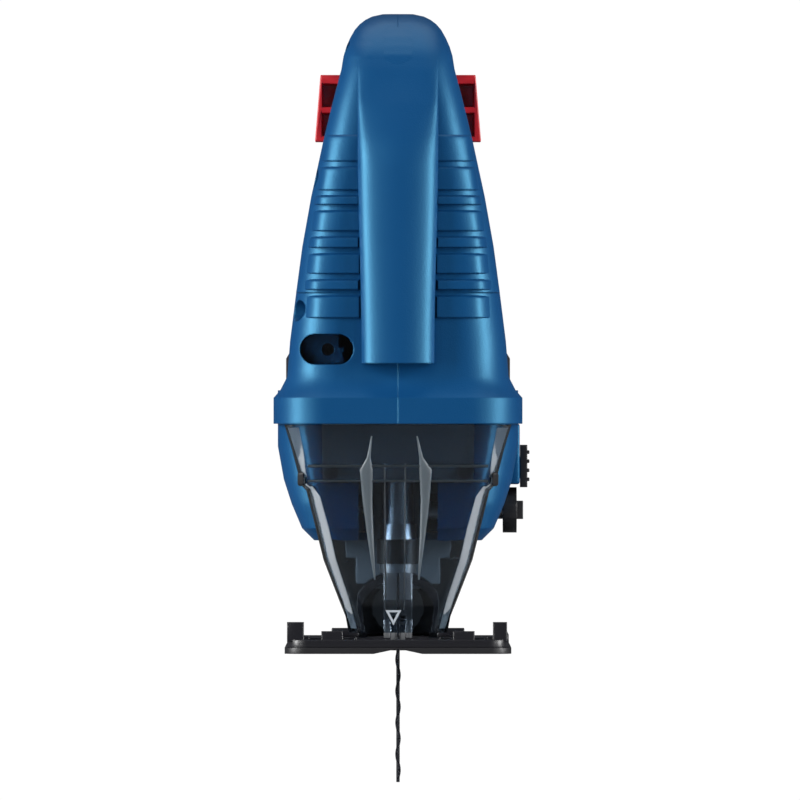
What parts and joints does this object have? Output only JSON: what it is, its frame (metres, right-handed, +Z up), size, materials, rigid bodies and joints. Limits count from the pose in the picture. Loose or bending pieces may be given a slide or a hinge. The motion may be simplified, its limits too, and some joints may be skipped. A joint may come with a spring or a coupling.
{
  "type": "cordless jigsaw",
  "caption": "Cordless D-handle jigsaw with a reciprocating blade, orbital guide roller, tilting foot, clear dust shield and slide-on battery.",
  "frame": {"origin": "on the sole's underside, where the blade's axis comes through it", "axes": "+Z up along the blade, -Y the cutting direction, +X towards the tool's left side with the selector knob"},
  "size_m": [0.0842, 0.262, 0.2529],
  "materials": {
    "housing": "fine grained blue moulded polyamide",
    "soft_grip": "matt black soft moulded elastomer",
    "lamp_lens": "clear moulded lens",
    "shield": "clear, slightly smoked polycarbonate",
    "screw_steel": "blackened steel",
    "cast_metal": "die-cast, dark grey paint",
    "steel": "ground steel",
    "bearing_steel": "polished bearing steel",
    "spring_steel": "drawn wire",
    "magnet": "sintered, plain",
    "laminations": "stacked sheets",
    "copper": "drawn copper",
    "bronze": "sintered bronze",
    "carbon": "pressed carbon",
    "black_plastic": "fine grained black plastic",
    "red_plastic": "satin red plastic",
    "blade_steel": "dark tempered blade steel",
    "foot_black": "black coated sheet steel",
    "shoe_plastic": "black glide plastic",
    "lead_insulation": "silicone insulation",
    "battery_black": "black moulded plastic",
    "cell_wrap": "shrink wrapped steel cells"
  },
  "bodies": {
    "tool_body": {"housing_left": "housing", "housing_right": "housing", "front_strip": "housing", "handle_grip": "soft_grip", "lamp_lens": "lamp_lens", "housing_screws": "screw_steel", "case_screws": "screw_steel", "gear_case": "cast_metal", "gear_case_cover": "cast_metal", "foot_saddle": "cast_metal", "gear_bearing": "bearing_steel", "motor_can": "steel", "motor_magnets": "magnet", "brush_holder": "black_plastic", "brushes": "carbon", "front_motor_bearing": "bearing_steel", "rear_motor_bearing": "bearing_steel", "cradle_pin": "steel", "fork_pin": "steel", "clamp_screw": "screw_steel", "clamp_washer": "steel", "switch_module": "black_plastic", "control_module": "black_plastic", "terminal_block": "copper", "internal_leads": "lead_insulation", "trigger_spring": "spring_steel"},
    "armature": {"motor_shaft": "steel", "armature_core": "laminations", "commutator": "copper", "cooling_fan": "black_plastic", "pinion": "steel"},
    "gear": {"drive_gear": "steel", "gear_shaft": "steel", "eccentric_pin": "steel"},
    "rocking_guide": {"guide_cradle": "cast_metal", "lower_bush": "bronze", "upper_bush": "bronze"},
    "plunger": {"plunger_rod": "steel", "yoke": "steel", "yoke_slider": "bearing_steel", "blade_clamp": "steel", "blade": "blade_steel"},
    "release_ring": {"clamp_ring": "black_plastic"},
    "roller_arm": {"roller_fork": "steel", "roller_pin": "steel"},
    "roller": {"guide_roller": "bearing_steel"},
    "selector": {"selector_knob": "black_plastic", "selector_shaft": "steel"},
    "blower_switch": {"blower_slide": "black_plastic"},
    "foot": {"foot_plate": "foot_black", "foot_shoe": "shoe_plastic", "foot_bracket": "foot_black"},
    "shield": {"dust_shield": "shield"},
    "lock_off": {"lock_off_slide": "red_plastic"},
    "trigger": {"trigger": "black_plastic"},
    "battery": {"battery_case_lower": "battery_black", "battery_case_upper": "battery_black", "battery_cells": "cell_wrap", "button_spring": "spring_steel"},
    "battery_release": {"battery_button": "red_plastic"}
  },
  "joints": [
    {"name": "armature_spin", "type": "hinge", "parent": "tool_body", "child": "armature", "pos_m": [0, 0.05, 0.063], "axis": [0, 1, 0], "continuous": true},
    {"name": "gear_spin", "type": "hinge", "parent": "tool_body", "child": "gear", "pos_m": [0, 0.012, 0.087], "axis": [0, 1, 0], "continuous": true},
    {"name": "guide_rock", "type": "hinge", "parent": "tool_body", "child": "rocking_guide", "pos_m": [0, -0.0115, 0.12], "axis": [-1, 0, 0], "range_deg": [0, 1.3]},
    {"name": "plunger_stroke", "type": "slide", "parent": "rocking_guide", "child": "plunger", "axis": [0, 0, 1], "range_m": [-0.013, 0.013]},
    {"name": "clamp_release", "type": "hinge", "parent": "plunger", "child": "release_ring", "pos_m": [0, 0, 0.033], "axis": [0, 0, 1], "range_deg": [0, 30], "stiffness_Nm_per_rad": 0.02},
    {"name": "roller_arm_swing", "type": "hinge", "parent": "tool_body", "child": "roller_arm", "pos_m": [0, 0.015, 0.034], "axis": [-1, 0, 0], "range_deg": [0, 5.4]},
    {"name": "roller_spin", "type": "hinge", "parent": "roller_arm", "child": "roller", "pos_m": [0, 0.00775, 0.0065], "axis": [1, 0, 0], "continuous": true},
    {"name": "orbital_selector", "type": "hinge", "parent": "tool_body", "child": "selector", "pos_m": [0.03, 0.0222, 0.0465], "axis": [1, 0, 0], "range_deg": [0, 90]},
    {"name": "blower_switch_slide", "type": "slide", "parent": "tool_body", "child": "blower_switch", "axis": [0, 0, 1], "range_m": [0, 0.005]},
    {"name": "foot_bevel", "type": "hinge", "parent": "tool_body", "child": "foot", "pos_m": [0, 0.046, 0.01], "axis": [0, 1, 0], "range_deg": [-45, 45]},
    {"name": "shield_unclip", "type": "slide", "parent": "tool_body", "child": "shield", "axis": [0, -1, 0], "range_m": [0, 0.003]},
    {"name": "lock_off_press", "type": "slide", "parent": "tool_body", "child": "lock_off", "axis": [1, 0, 0], "range_m": [-0.003, 0.003], "stiffness_N_per_m": 800},
    {"name": "trigger_pull", "type": "hinge", "parent": "tool_body", "child": "trigger", "pos_m": [0, 0.025, 0.172], "axis": [1, 0, 0], "range_deg": [0, 7], "stiffness_Nm_per_rad": 0.4, "springref_deg": -5.73, "deforming": ["trigger_spring"]},
    {"name": "battery_slide", "type": "slide", "parent": "tool_body", "child": "battery", "axis": [0, 1, 0], "range_m": [0, 0.06]},
    {"name": "battery_release_press", "type": "slide", "parent": "battery", "child": "battery_release", "axis": [0, 0, -1], "range_m": [0, 0.003], "stiffness_N_per_m": 900, "springref_m": -0.001, "deforming": ["button_spring"]}
  ],
  "couplings": [
    {"joint": "gear_spin", "follows": "armature_spin", "ratio": -0.23077},
    {"joint": "roller_arm_swing", "follows": "guide_rock", "ratio": 4.1273}
  ]
}
